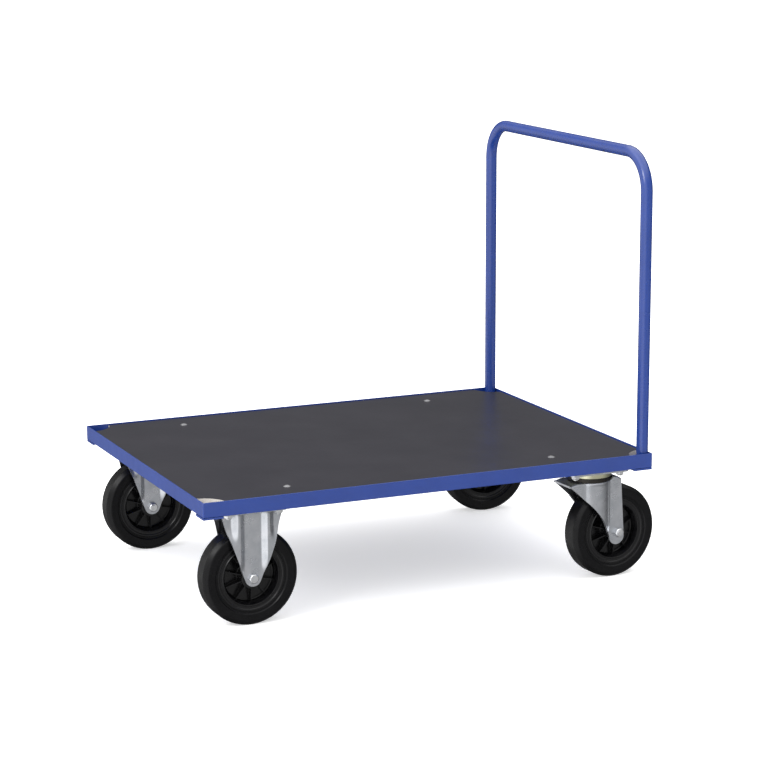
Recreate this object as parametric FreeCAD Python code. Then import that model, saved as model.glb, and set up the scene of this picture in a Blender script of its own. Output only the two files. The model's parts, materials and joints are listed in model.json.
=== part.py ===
"""Platform cart: steel frame, plywood deck, tubular push bar, two fixed and two swivel casters.

Millimetres.  +Z is up, +X points to the push bar end (the rear), -Y is the left side.
The origin is on the floor, under the middle of the whole cart.
"""
import FreeCAD
import Part
import math
import os

Vec = FreeCAD.Vector

# ---- frame ----
frame_length = 1000.0
frame_width = 750.0
rail_height = 31.0
rail_flange = 40.0           # leg of the rail angle that points inwards
rail_thickness = 2.5
corner_plate_size = 43.0
corner_plate_thickness = 4.0
channel_thickness = 2.5
outer_channel_width = 60.0
middle_channel_width = 60.0
inner_channel_edge = 27.5    # from the channel's sides to the bolts that pass through it

# ---- deck ----
deck_thickness = 12.0
deck_recess = 2.5            # rim top above the deck
deck_gap = 1.0               # between the deck's edge and the rim
deck_cutout_radius = 50.0
deck_bolt_gap = 20.5         # deck bolt from the end of the caster plate
deck_bolt_inset = 69.0       # deck bolt from the side of the frame
deck_bolt_head_radius = 8.5
deck_bolt_head_height = 3.0

# ---- push bar ----
bar_radius = 12.5
bar_wall = 2.5
bar_bend_radius = 78.0
bar_top = 898.5              # height of the cross tube's axis
bar_gap_x = 0.2              # tube to the inside of the end rail
bar_gap_y = 3.0              # tube to the inside of the side rail
plug_length = 30.0
plug_bolt_cover = 4.0        # plug above the end of its bolt
bar_bolt_key = 8.0           # hexagon socket in the countersunk head
bar_bolt_key_depth = 2.5

# ---- wheels ----
wheel_radius = 100.0
tyre_width = 50.0
tyre_depth = 38.0            # tread to the tyre's seat on the rim
tyre_shoulder = 9.0
tyre_step = 1.5              # side wall above the bead
rim_flange_height = 9.0
rim_flange_inset = 2.5       # rim flange from the side of the tyre
rim_flange_thickness = 2.5
rim_wall = 8.0
rim_mouth = 4.0              # flare at the open end of the barrel
web_half = 3.0
hub_radius = 23.0
hub_chamfer = 2.0
hub_bore_radius = 15.0
sleeve_radius = 10.0
rib_count = 10
rib_thickness = 2.6
rib_drop = 8.0               # rib below the hub's end
rib_recess = 3.0             # rib below the barrel's end
rib_phase = 21.0             # degrees from the level to the first rib
rib_root = 1.0               # how far a rib reaches into the hub and the barrel
roller_count = 8
cage_wall = 1.2              # half the wall of the roller cage
cage_end = 3.0
cage_recess = 4.5            # cage from the end of the hub

# ---- casters ----
caster_inset_x = 115.0
caster_inset_y = 67.0
caster_headroom = 42.0       # tread to the underside of the rails
hole_pitch_x = 105.0
hole_edge = 15.0             # bolt hole to the edges of the caster plate
plate_corner_radius = 8.0
nut_gap = 0.5                # plate nut to the leg beside it
fork_sheet = 4.0
fork_side_gap = 5.0          # leg to tyre
fork_end_radius = 17.0

# ---- fixed fork ----
leg_top_half_width = 66.0
leg_lean = 21.0              # degrees, edges of the leg at its round end
leg_swell = 2.4              # how far the edges bow outwards
leg_panel_half = 18.0        # flat panel in the middle
leg_slope_width = 9.0
leg_ridge_width = 6.0
leg_ridge_rise = 9.0
leg_ridge_length = 55.0      # height over which the ridges rise
leg_pocket_depth = 2.5
leg_pocket_top = 32.0        # the bolt pockets are full this far below the rails
leg_pocket_run = 45.0

# ---- swivel fork ----
swivel_plate_thickness = 6.0
swivel_trail = 53.0
swivel_rest_left = 4.0       # degrees that each swivel caster is parked at
swivel_rest_right = -7.0
swivel_foot_x = 3.0          # middle of the round foot from the axle
swivel_foot_z = 8.0
swivel_foot_extra = 1.0      # round foot over a fixed leg's
swivel_rear_lean = 7.0       # crown's rear end behind the axle
front_sweep = 12.0           # bow of the front edge
visor_reach = 21.0
visor_drop = 10.0
visor_lip = 4.0
crown_land = 4.7             # crown beyond the middle of its ball row
crown_thickness = 5.0
crown_bore_gap = 5.0
cup_height = 9.0
cup_land = 8.0               # cup beyond the middle of its ball row
cup_edge_radius = 2.0
cup_lip_width = 3.0          # lip around the balls
cup_lip_gap = 0.6            # lip to the fork's crown
race_land = 7.0              # race wall beside its balls
washer_height = 6.0
upper_race_radius = 40.0
lower_race_radius = 20.0
ball_radius = 3.0
upper_ball_count = 30
lower_ball_count = 14
kingpin_radius = 7.0
kingpin_head_height = 4.0

# ---- fasteners: shank radius, width across flats, head height, nut height ----
M8 = {"shank": 4.0, "flats": 13.0, "nut": 6.5}
M10 = {"shank": 5.0, "flats": 16.0, "head": 6.4, "nut": 8.0}
M12 = {"shank": 6.0, "flats": 18.0, "head": 7.5, "nut": 10.0}
M14 = {"flats": 21.0, "nut": 9.0}
hex_end = 0.45               # radius of a chamfered end, as a share of the width across flats
thread_end = 2.0             # shank beyond its nut

# ---- clearances ----
hole_clearance = 0.5         # bolt hole over its shank
running_clearance = 0.1      # rollers and balls to what they run on
axle_clearance = 0.1
hub_side_clearance = 0.5
beyond = 1.0                 # how far a cutting tool passes the face it cuts

# ---- worked out from the sizes above ----
half_length = frame_length / 2
half_width = frame_width / 2
caster_height = 2 * wheel_radius + caster_headroom
caster_x = half_length - caster_inset_x
caster_y = half_width - caster_inset_y
rear_overhang = caster_x + swivel_trail + wheel_radius - half_length
frame_x = -rear_overhang / 2
rail_bottom = caster_height
rail_top = rail_bottom + rail_height
deck_top = rail_top - deck_recess
deck_bottom = deck_top - deck_thickness
deck_bolt_y = half_width - deck_bolt_inset
flange_top = rail_bottom + rail_thickness
channel_floor = rail_bottom + channel_thickness
channel_end = half_width - rail_flange
fork_gap = tyre_width + 2 * fork_side_gap
leg_outer = fork_gap / 2 + fork_sheet
sleeve_half = fork_gap / 2
hub_half = sleeve_half - hub_side_clearance
hole_pitch_y = 2 * (leg_outer - leg_pocket_depth + M10["flats"] / 2 + nut_gap)
plate_length = hole_pitch_x + 2 * hole_edge
plate_width = hole_pitch_y + 2 * hole_edge
deck_bolt_x = caster_x - plate_length / 2 - deck_bolt_gap
crown_radius = upper_race_radius + crown_land
cup_outer_radius = upper_race_radius + cup_land
tyre_seat_radius = wheel_radius - tyre_depth
rim_flange_radius = tyre_seat_radius + rim_flange_height
rim_inner_radius = tyre_seat_radius - rim_wall
roller_length = 2 * (hub_half - cage_recess - cage_end)
crown_top = caster_height - swivel_plate_thickness - cup_height - ball_radius
crown_under = crown_top - crown_thickness
upper_ball_z = crown_top + ball_radius / 2
lower_ball_z = crown_under - ball_radius / 2
bar_x = half_length - rail_thickness - bar_radius - bar_gap_x
bar_y = half_width - rail_thickness - bar_radius - bar_gap_y

parts = {}


# ---------------------------------------------------------------- shape helpers

def box(x0, x1, y0, y1, z0, z1):
    return Part.makeBox(x1 - x0, y1 - y0, z1 - z0, Vec(x0, y0, z0))


def rod(radius, start, end):
    """Solid cylinder from one point to another."""
    along = Vec(*end) - Vec(*start)
    return Part.makeCylinder(radius, along.Length, Vec(*start), along)


def tube(outer, inner, start, end):
    return rod(outer, start, end).cut(rod(inner, start, end))


def outline(path, place):
    """Face from a closed path: a point is a straight edge, a (mid, end) pair is an arc."""
    start = place(path[0])
    here = start
    edges = []
    for step in path[1:] + [path[0]]:
        if isinstance(step[0], tuple):
            mid, end = place(step[0]), place(step[1])
            edges.append(Part.Arc(here, mid, end).toShape())
        else:
            end = place(step)
            if end.distanceToPoint(here) > 1e-6:
                edges.append(Part.LineSegment(here, end).toShape())
        here = end
    return Part.Face(Part.Wire(edges))


def side_slab(path, y0, y1):
    """Slab with an outline in X and Z, between two Y values."""
    return outline(path, lambda p: Vec(p[0], y0, p[1])).extrude(Vec(0, y1 - y0, 0))


def turned(path, centre_z):
    """Solid of revolution about the Y direction from an outline in radius and Y."""
    face = outline(path, lambda p: Vec(p[0], p[1], 0))
    solid = face.revolve(Vec(0, 0, 0), Vec(0, 1, 0), 360)
    solid.translate(Vec(0, 0, centre_z))
    return solid


def hexagon(flats, start, end):
    """Hexagonal prism from one point to another, with chamfered corners at its far end."""
    along = Vec(*end) - Vec(*start)
    corner = flats / math.sqrt(3)
    points = [Vec(corner * math.cos(k * math.pi / 3), corner * math.sin(k * math.pi / 3), 0)
              for k in range(6)]
    prism = Part.Face(Part.makePolygon(points + points[:1])).extrude(Vec(0, 0, along.Length))
    end_radius = hex_end * flats
    prism = prism.common(Part.makeCone(end_radius + along.Length, end_radius, along.Length))
    prism.Placement = FreeCAD.Placement(Vec(*start), FreeCAD.Rotation(Vec(0, 0, 1), along))
    return prism


def group(solids):
    return Part.makeCompound(solids)


def mirrored_y(shape):
    return shape.mirror(Vec(0, 0, 0), Vec(0, 1, 0))


def pattern_points():
    """Bolt positions of a caster plate about the plate's centre."""
    return [(sx * hole_pitch_x / 2, sy * hole_pitch_y / 2) for sx in (-1, 1) for sy in (-1, 1)]


def lerp(a, b, share):
    return a + (b - a) * share


def share_of(value, low, high):
    """How far a value lies from low to high, kept between 0 and 1."""
    return min(1.0, max(0.0, (value - low) / (high - low)))


# ---------------------------------------------------------------- frame

def side_rail(sign):
    """Angle section along X, mitred at both corners, with its flange pointing inwards."""
    outer = sign * half_width
    wall = sorted((outer, outer - sign * rail_thickness))
    flange = sorted((outer, outer - sign * rail_flange))
    rail = box(-half_length, half_length, wall[0], wall[1], rail_bottom, rail_top)
    rail = rail.fuse(box(-half_length, half_length, flange[0], flange[1], rail_bottom, flange_top))
    return rail.removeSplitter().common(mitre_zone(sign))


def mitre_zone(sign):
    """Everything nearer to a side than to an end, cut at 45 degrees through the corners."""
    reach = 2 * rail_flange
    inner = sign * (half_width - reach)
    points = [Vec(-half_length, sign * half_width, 0), Vec(half_length, sign * half_width, 0),
              Vec(half_length - reach, inner, 0), Vec(-half_length + reach, inner, 0)]
    return Part.Face(Part.makePolygon(points + points[:1])).extrude(Vec(0, 0, rail_top + beyond))


def end_rail(sign):
    outer = sign * half_length
    wall = sorted((outer, outer - sign * rail_thickness))
    flange = sorted((outer, outer - sign * rail_flange))
    rail = box(wall[0], wall[1], -half_width, half_width, rail_bottom, rail_top)
    rail = rail.fuse(box(flange[0], flange[1], -half_width, half_width, rail_bottom, flange_top))
    return rail.removeSplitter().cut(mitre_zone(1)).cut(mitre_zone(-1))


def corner_holes():
    """Drills for the push bar bolts, one in each corner of the frame."""
    radius = M12["shank"] + hole_clearance
    return [rod(radius, (sx * bar_x, sy * bar_y, rail_bottom - 2 * corner_plate_thickness),
                (sx * bar_x, sy * bar_y, flange_top + beyond)) for sx in (-1, 1) for sy in (-1, 1)]


def countersink(x, y):
    """Cone of a countersunk head, flush with the underside of a corner plate."""
    bottom = rail_bottom - corner_plate_thickness
    return Part.makeCone(M12["shank"] + corner_plate_thickness, M12["shank"], corner_plate_thickness,
                         Vec(x, y, bottom))


def caster_holes():
    radius = M10["shank"] + hole_clearance
    drills = []
    for cx in (-caster_x, caster_x):
        for cy in (-caster_y, caster_y):
            for dx, dy in pattern_points():
                drills.append(rod(radius, (cx + dx, cy + dy, rail_bottom - beyond),
                                  (cx + dx, cy + dy, max(flange_top, channel_floor) + beyond)))
    return drills


def deck_bolt_points():
    return [(sx * deck_bolt_x, sy * deck_bolt_y) for sx in (-1, 1) for sy in (-1, 1)]


def deck_bolt_drills(radius):
    return [rod(radius, (x, y, rail_bottom - beyond), (x, y, deck_top + beyond))
            for x, y in deck_bolt_points()]


def channel(x0, x1):
    """Channel across the frame, open upwards, its edges carrying the deck."""
    solid = box(x0, x1, -channel_end, channel_end, rail_bottom, deck_bottom)
    hollow = box(x0 + channel_thickness, x1 - channel_thickness, -channel_end, channel_end,
                 channel_floor, deck_bottom)
    return solid.cut(hollow)


def corner_plate(sx, sy):
    xs = sorted((sx * half_length, sx * (half_length - corner_plate_size)))
    ys = sorted((sy * half_width, sy * (half_width - corner_plate_size)))
    plate = box(xs[0], xs[1], ys[0], ys[1], rail_bottom - corner_plate_thickness, rail_bottom)
    outer_edge = [e for e in plate.Edges if abs(e.Length - corner_plate_thickness) < 1e-6
                  and abs(e.BoundBox.Center.x - sx * half_length) < 1e-6
                  and abs(e.BoundBox.Center.y - sy * half_width) < 1e-6]
    return plate.makeFillet(corner_plate_thickness / 2, outer_edge)


def build_frame():
    drills = corner_holes() + caster_holes()
    deck_drills = deck_bolt_drills(M8["shank"] + hole_clearance)
    parts["cross_member_middle"] = channel(-middle_channel_width / 2, middle_channel_width / 2)
    outer_end = half_length - rail_flange
    inner_start = deck_bolt_x - inner_channel_edge
    inner_end = caster_x - hole_pitch_x / 2 + inner_channel_edge
    for name, sign in (("left", -1), ("right", 1)):
        parts["side_rail_" + name] = side_rail(sign).cut(drills)
    for name, sign in (("front", -1), ("rear", 1)):
        parts["end_rail_" + name] = end_rail(sign).cut(drills)
        outer = channel(*sorted((sign * (outer_end - outer_channel_width), sign * outer_end)))
        inner = channel(*sorted((sign * inner_start, sign * inner_end)))
        parts["cross_member_%s_outer" % name] = outer.cut(drills)
        parts["cross_member_%s_inner" % name] = inner.cut(drills + deck_drills)
        for side, side_sign in (("left", -1), ("right", 1)):
            plate = corner_plate(sign, side_sign).cut(drills)
            if name == "rear":
                plate = plate.cut(countersink(bar_x, side_sign * bar_y))
            parts["corner_plate_%s_%s" % (name, side)] = plate


# ---------------------------------------------------------------- deck

def build_deck():
    inset = rail_thickness + deck_gap
    panel = box(-half_length + inset, half_length - inset, -half_width + inset, half_width - inset,
                deck_bottom, deck_top)
    corners = [rod(deck_cutout_radius, (sx * half_length, sy * half_width, deck_bottom - beyond),
                   (sx * half_length, sy * half_width, deck_top + beyond))
               for sx in (-1, 1) for sy in (-1, 1)]
    drills = deck_bolt_drills(M8["shank"] + hole_clearance)
    parts["deck_panel"] = panel.cut(corners + drills)

    dome_radius = (deck_bolt_head_radius ** 2 + deck_bolt_head_height ** 2) / (2 * deck_bolt_head_height)
    bolts = []
    nuts = []
    for x, y in deck_bolt_points():
        centre = Vec(x, y, deck_top + deck_bolt_head_height - dome_radius)
        dome = Part.makeSphere(dome_radius, centre)
        head = dome.common(rod(deck_bolt_head_radius, (x, y, deck_top),
                               (x, y, deck_top + deck_bolt_head_height + beyond)))
        nut_bottom = rail_bottom - M8["nut"]
        shank = rod(M8["shank"], (x, y, nut_bottom - thread_end), (x, y, deck_top))
        bolts.append(head.fuse(shank))
        nut = hexagon(M8["flats"], (x, y, rail_bottom), (x, y, nut_bottom))
        nuts.append(nut.cut(rod(M8["shank"], (x, y, nut_bottom - beyond), (x, y, rail_bottom + beyond))))
    parts["deck_bolts"] = group(bolts)
    parts["deck_nuts"] = group(nuts)


# ---------------------------------------------------------------- push bar

def bar_path():
    """Centre line of the U: up one leg, across, and down the other."""
    r = bar_bend_radius
    turn = r * (1 - math.sqrt(0.5))
    foot = flange_top
    low_left, high_left = Vec(bar_x, -bar_y, foot), Vec(bar_x, -bar_y, bar_top - r)
    top_left, top_right = Vec(bar_x, -bar_y + r, bar_top), Vec(bar_x, bar_y - r, bar_top)
    high_right, low_right = Vec(bar_x, bar_y, bar_top - r), Vec(bar_x, bar_y, foot)
    mid_left = Vec(bar_x, -bar_y + turn, bar_top - turn)
    mid_right = Vec(bar_x, bar_y - turn, bar_top - turn)
    return Part.Wire([Part.LineSegment(low_left, high_left).toShape(),
                      Part.Arc(high_left, mid_left, top_left).toShape(),
                      Part.LineSegment(top_left, top_right).toShape(),
                      Part.Arc(top_right, mid_right, high_right).toShape(),
                      Part.LineSegment(high_right, low_right).toShape()])


def bar_sweep(radius):
    circle = Part.Wire(Part.makeCircle(radius, Vec(bar_x, -bar_y, flange_top), Vec(0, 0, 1)))
    return bar_path().makePipeShell([circle], True, True)


def build_push_bar():
    parts["push_bar"] = bar_sweep(bar_radius).cut(bar_sweep(bar_radius - bar_wall))
    plugs = []
    bolts = []
    plate_bottom = rail_bottom - corner_plate_thickness
    bolt_top = flange_top + plug_length - plug_bolt_cover
    for y in (-bar_y, bar_y):
        plugs.append(tube(bar_radius - bar_wall, M12["shank"], (bar_x, y, flange_top),
                          (bar_x, y, flange_top + plug_length)))
        bolt = countersink(bar_x, y).fuse(rod(M12["shank"], (bar_x, y, plate_bottom), (bar_x, y, bolt_top)))
        socket = hexagon(bar_bolt_key, (bar_x, y, plate_bottom - beyond),
                         (bar_x, y, plate_bottom + bar_bolt_key_depth))
        bolts.append(bolt.cut(socket))
    parts["push_bar_plugs"] = group(plugs)
    parts["push_bar_bolts"] = group(bolts)


# ---------------------------------------------------------------- wheel, about its own axle

def tyre():
    """Moulded tyre: flat tread, round shoulders and a side wall that steps down to the bead."""
    half = tyre_width / 2
    seat = half - rim_flange_inset - rim_flange_thickness
    bead = half - tyre_step
    foot = rim_flange_radius + rim_mouth
    shoulder = wheel_radius - tyre_shoulder
    tread = half - tyre_shoulder
    round_mid = tyre_shoulder * math.sqrt(0.5)
    near = [(tyre_seat_radius, -seat), (rim_flange_radius, -seat), (rim_flange_radius, -bead),
            (foot, -bead), (foot + tyre_step, -half), (shoulder, -half),
            ((shoulder + round_mid, -tread - round_mid), (wheel_radius, -tread)), (wheel_radius, tread),
            ((shoulder + round_mid, tread + round_mid), (shoulder, half)), (foot + tyre_step, half),
            (foot, bead), (rim_flange_radius, bead), (rim_flange_radius, seat), (tyre_seat_radius, seat)]
    return turned(near, 0)


def wheel_rim():
    """Moulded centre: hub, web, barrel and flanges, with thin ribs on both faces."""
    flange = tyre_width / 2 - rim_flange_inset
    seat = flange - rim_flange_thickness
    barrel = flange - rim_wall
    near = [(hub_bore_radius, hub_half), (hub_radius - hub_chamfer, hub_half),
            (hub_radius, hub_half - hub_chamfer), (hub_radius, web_half), (rim_inner_radius, web_half),
            (rim_inner_radius, barrel), (rim_inner_radius + rim_mouth, flange),
            (rim_flange_radius, flange), (rim_flange_radius, seat), (tyre_seat_radius, seat)]
    far = [(r, -y) for r, y in reversed(near)]
    rim = turned(near + far, 0)
    root = hub_radius - rib_root
    tip = rim_inner_radius + rib_root
    path = [(root, 0), (tip, 0), (tip, barrel - rib_recess), (root, hub_half - rib_drop)]
    ribs = []
    for k in range(rib_count):
        for side in (-1, 1):
            rib = side_slab(path, -rib_thickness / 2, rib_thickness / 2)
            rib.rotate(Vec(0, 0, 0), Vec(1, 0, 0), 90 * side)
            rib.rotate(Vec(0, 0, 0), Vec(0, 1, 0), k * 360 / rib_count - rib_phase)
            ribs.append(rib)
    return rim.fuse(ribs).removeSplitter()


def roller_bearing():
    """Plastic cage with its steel rollers, between the axle sleeve and the hub bore."""
    centre = (sleeve_radius + hub_bore_radius) / 2
    radius = (hub_bore_radius - sleeve_radius) / 2 - running_clearance
    half = roller_length / 2
    cage = tube(centre + cage_wall, centre - cage_wall, (0, -half - cage_end, 0), (0, half + cage_end, 0))
    pocket_half = half + 2 * running_clearance
    rollers = []
    pockets = []
    for k in range(roller_count):
        angle = 2 * math.pi * k / roller_count
        x, z = centre * math.cos(angle), centre * math.sin(angle)
        rollers.append(rod(radius, (x, -half, z), (x, half, z)))
        pockets.append(rod(radius + running_clearance, (x, -pocket_half, z), (x, pocket_half, z)))
    return group([cage.cut(pockets)] + rollers)


# ---------------------------------------------------------------- casters, about the floor
# A fixed caster is drawn about the point under its axle, a swivel caster under its kingpin.

def plate_with_holes(thickness):
    top = caster_height
    plate = box(-plate_length / 2, plate_length / 2, -plate_width / 2, plate_width / 2,
                top - thickness, top)
    corners = [e for e in plate.Edges if abs(e.BoundBox.ZLength - thickness) < 1e-6]
    plate = plate.makeFillet(plate_corner_radius, corners)
    radius = M10["shank"] + hole_clearance
    return plate.cut([rod(radius, (x, y, top - thickness - beyond), (x, y, top + beyond))
                      for x, y in pattern_points()])


def leg_face(across, z):
    """Outer face of a fixed leg: a flat panel between two ridges, with pockets for the bolts."""
    ridge_start = wheel_radius - leg_ridge_rise
    rise = leg_ridge_rise * share_of(z, ridge_start, ridge_start + leg_ridge_length)
    pocket_top = caster_height - leg_pocket_top
    pocket = share_of(z, pocket_top - leg_pocket_run, pocket_top)
    ridge = leg_outer + rise
    wing = lerp(ridge, leg_outer - leg_pocket_depth, pocket)
    inner = leg_panel_half + leg_slope_width
    outer = inner + leg_ridge_width
    if across <= inner:
        return lerp(leg_outer, ridge, share_of(across, leg_panel_half, inner))
    return lerp(ridge, wing, share_of(across, outer, outer + leg_slope_width))


def fixed_leg():
    """One pressed leg on the +Y side."""
    columns = [leg_panel_half, leg_panel_half + leg_slope_width]
    columns += [columns[1] + leg_ridge_width, columns[1] + leg_ridge_width + leg_slope_width]
    columns += [leg_top_half_width + beyond]
    across = [-c for c in reversed(columns)] + columns
    top = caster_height - fork_sheet
    radius = fork_end_radius
    ridge_start = wheel_radius - leg_ridge_rise
    pocket_top = caster_height - leg_pocket_top
    levels = sorted({wheel_radius - radius - beyond, ridge_start, ridge_start + leg_ridge_length / 2,
                     ridge_start + leg_ridge_length, pocket_top - leg_pocket_run, pocket_top, top})
    sections = []
    for z in levels:
        outer = [Vec(x, leg_face(abs(x), z), z) for x in across]
        inner = [Vec(x, leg_face(abs(x), z) - fork_sheet, z) for x in reversed(across)]
        sections.append(Part.makePolygon(outer + inner + outer[:1]))
    pressed = Part.makeLoft(sections, True, True)
    lean = math.radians(leg_lean)
    end_x = radius * math.cos(lean)
    end_z = wheel_radius - radius * math.sin(lean)
    mid_x = (leg_top_half_width + end_x) / 2 + leg_swell
    mid_z = (top + end_z) / 2
    trim = [(-leg_top_half_width, top), ((-mid_x, mid_z), (-end_x, end_z)),
            ((0, wheel_radius - radius), (end_x, end_z)), ((mid_x, mid_z), (leg_top_half_width, top))]
    return pressed.common(side_slab(trim, 0, plate_width))


def fixed_fork():
    leg = fixed_leg()
    fork = plate_with_holes(fork_sheet).fuse([leg, mirrored_y(leg)])
    hole = M12["shank"] + axle_clearance
    return fork.cut(rod(hole, (0, -plate_width, wheel_radius), (0, plate_width, wheel_radius)))


def leg_trim():
    """Side outline of the swivel fork: sloping visor, straight rear edge, bowed front edge."""
    x, z = swivel_trail - swivel_foot_x, wheel_radius - swivel_foot_z
    radius = fork_end_radius + swivel_foot_extra
    tip = Vec(-crown_radius - visor_reach, 0, crown_top - visor_drop)
    start = Vec(x - radius, 0, z)
    end = tip - Vec(0, 0, visor_lip)
    bow = (end - start).cross(Vec(0, 1, 0)).normalize() * front_sweep
    middle = (start + end) / 2 - bow
    return [(tip.x, tip.z), (-crown_radius, crown_top), (swivel_trail + swivel_rear_lean, crown_top),
            (x + radius, z), ((x, z - radius), (x - radius, z)), ((middle.x, middle.z), (end.x, end.z))]


def swivel_fork():
    """Pressed fork: a crown and two legs, bulged to a round skirt about the kingpin."""
    far = 2 * wheel_radius
    body = box(-far, far, -leg_outer, leg_outer, 0, crown_top)
    skirt = rod(crown_radius, (0, 0, 0), (0, 0, crown_top))
    body = body.fuse(skirt).common(side_slab(leg_trim(), -plate_width, plate_width))
    visor_x = -crown_radius - 2 * visor_reach
    visor_z = crown_under - 2 * visor_drop
    space = [(visor_x, 0), (visor_x, visor_z), (-crown_radius, crown_under), (far, crown_under), (far, 0)]
    inner = side_slab(space, -fork_gap / 2, fork_gap / 2)
    bore = rod(crown_radius - fork_sheet, (0, 0, 0), (0, 0, crown_under))
    fork = body.cut([inner, bore]).removeSplitter()
    hole = M12["shank"] + axle_clearance
    axle = rod(hole, (swivel_trail, -plate_width, wheel_radius), (swivel_trail, plate_width, wheel_radius))
    middle = rod(kingpin_radius + crown_bore_gap, (0, 0, crown_under - beyond), (0, 0, crown_top + beyond))
    grooves = [ball_groove(upper_race_radius, upper_ball_z), ball_groove(lower_race_radius, lower_ball_z)]
    return fork.cut([axle, middle] + grooves)


def ball_groove(race_radius, z):
    return Part.makeTorus(race_radius, ball_radius + running_clearance, Vec(0, 0, z))


def ball_row(count, race_radius, z):
    balls = []
    for k in range(count):
        angle = 2 * math.pi * k / count
        balls.append(Part.makeSphere(ball_radius, Vec(race_radius * math.cos(angle),
                                                      race_radius * math.sin(angle), z)))
    return group(balls)


def swivel_head():
    """Plate, upper cup, lower race washer, kingpin and its nut: what stays with the frame."""
    plate_bottom = caster_height - swivel_plate_thickness
    ball_top = crown_top + ball_radius
    lip_bottom = crown_top + cup_lip_gap
    lip_inner = cup_outer_radius - cup_lip_width
    plate = plate_with_holes(swivel_plate_thickness)
    plate = plate.cut(rod(kingpin_radius, (0, 0, plate_bottom - beyond), (0, 0, caster_height + beyond)))
    cup = tube(cup_outer_radius, upper_race_radius - race_land, (0, 0, lip_bottom), (0, 0, plate_bottom))
    rim = [e for e in cup.Edges if abs(e.BoundBox.ZMax - lip_bottom) < 1e-6
           and e.BoundBox.XLength > 2 * lip_inner]
    cup = cup.makeFillet(cup_edge_radius, rim).cut(rod(lip_inner, (0, 0, crown_top), (0, 0, ball_top)))
    cup = cup.cut(ball_groove(upper_race_radius, upper_ball_z))
    washer_top = lower_ball_z - ball_radius / 2
    washer_bottom = washer_top - washer_height
    nut_bottom = washer_bottom - M14["nut"]
    washer = tube(lower_race_radius + race_land, kingpin_radius, (0, 0, washer_bottom), (0, 0, washer_top))
    washer = washer.cut(ball_groove(lower_race_radius, lower_ball_z))
    nut = hexagon(M14["flats"], (0, 0, washer_bottom), (0, 0, nut_bottom))
    nut = nut.cut(rod(kingpin_radius, (0, 0, nut_bottom - beyond), (0, 0, caster_height)))
    pin = rod(kingpin_radius, (0, 0, nut_bottom - thread_end / 2), (0, 0, caster_height))
    rise = kingpin_head_height
    pin = pin.fuse(Part.makeCone(kingpin_radius + rise, kingpin_radius + rise / 2, rise,
                                 Vec(0, 0, caster_height)))
    return {"swivel_plate": plate, "race_cup": cup, "race_washer": washer, "nut": nut, "pin": pin}


def axle_set(x, head_side):
    """Bolt, lock nut and sleeve of one axle; head_side is the Y sign of the bolt head."""
    def at(y):
        return (x, head_side * y, wheel_radius)
    tip = leg_outer + M12["nut"] + thread_end
    head = hexagon(M12["flats"], at(leg_outer), at(leg_outer + M12["head"]))
    bolt = head.fuse(rod(M12["shank"], at(leg_outer), at(-tip)))
    nut = hexagon(M12["flats"], at(-leg_outer), at(-leg_outer - M12["nut"]))
    nut = nut.cut(rod(M12["shank"], at(0), at(-tip)))
    sleeve = tube(sleeve_radius, M12["shank"] + axle_clearance, at(-sleeve_half), at(sleeve_half))
    return {"axle_bolt": bolt, "axle_nut": nut, "axle_sleeve": sleeve}


def plate_bolts(thickness, side_sign):
    """Four bolts with their heads inside the frame, and their nuts under the plate."""
    bolts = []
    nuts = []
    nut_top = caster_height - thickness
    nut_bottom = nut_top - M10["nut"]
    for x, y in pattern_points():
        on_rail = caster_y + side_sign * y > channel_end
        seat = flange_top if on_rail else channel_floor
        head = hexagon(M10["flats"], (x, y, seat), (x, y, seat + M10["head"]))
        bolts.append(head.fuse(rod(M10["shank"], (x, y, nut_bottom - thread_end), (x, y, seat))))
        nut = hexagon(M10["flats"], (x, y, nut_top), (x, y, nut_bottom))
        nuts.append(nut.cut(rod(M10["shank"], (x, y, nut_bottom - beyond), (x, y, nut_top + beyond))))
    return bolts, nuts


def placed(shape, x, y, turn=0.0):
    """A copy turned about Z and carried to its place on the floor."""
    copy = shape.copy()
    copy.rotate(Vec(0, 0, 0), Vec(0, 0, 1), turn)
    copy.translate(Vec(x, y, 0))
    return copy


def lifted(shape, x):
    """A wheel part carried from its own axle to the axle of its caster."""
    copy = shape.copy()
    copy.translate(Vec(x, 0, wheel_radius))
    return copy


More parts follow.
